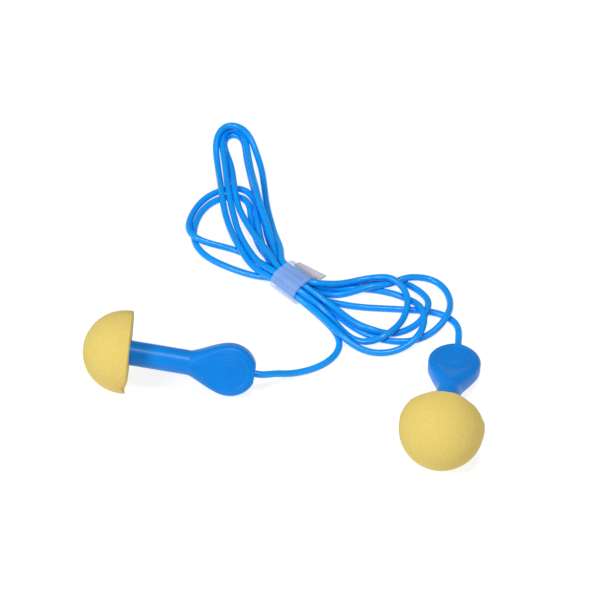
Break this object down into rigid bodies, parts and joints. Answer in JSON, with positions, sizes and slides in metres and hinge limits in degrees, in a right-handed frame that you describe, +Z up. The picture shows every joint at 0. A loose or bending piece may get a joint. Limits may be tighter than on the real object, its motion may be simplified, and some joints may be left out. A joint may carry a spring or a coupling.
{
  "type": "corded ear plugs",
  "caption": "Mushroom-shaped foam ear plugs on paddle grips, joined by a thin cord gathered in loops by a sliding sleeve.",
  "frame": {"origin": "on the table, below the middle of the box around the two plugs (foam tips and grips), cord not counted", "axes": "+X from the left plug to the right plug, +Y from the plugs towards the gathered loops, +Z up"},
  "size_m": [0.0648, 0.0812, 0.0135],
  "materials": {
    "foam": "matte",
    "grip": "satin",
    "cord": "gloss",
    "sleeve": "satin"
  },
  "bodies": {
    "cord": {"cord_bundle": "cord", "left_loops": "cord", "right_loops": "cord", "left_lead": "cord", "right_lead": "cord"},
    "sleeve": {"bundle_sleeve": "sleeve"},
    "left_plug": {"left_grip": "grip", "left_foam_tip": "foam", "left_cord_end": "cord"},
    "right_plug": {"right_grip": "grip", "right_foam_tip": "foam", "right_cord_end": "cord"}
  },
  "joints": [
    {"name": "sleeve_slide", "type": "slide", "parent": "cord", "child": "sleeve", "axis": [0.7071, -0.7071, 0], "range_m": [-0.0015, 0]},
    {"name": "left_plug_swing", "type": "hinge", "parent": "cord", "child": "left_plug", "pos_m": [-0.0008, 0.0069, 0.0025], "axis": [0, 0, 1], "range_deg": [-25, 25]},
    {"name": "right_plug_swing", "type": "hinge", "parent": "cord", "child": "right_plug", "pos_m": [0.0292, 0.0166, 0.00095], "axis": [0, 0, 1], "range_deg": [-25, 25]}
  ]
}
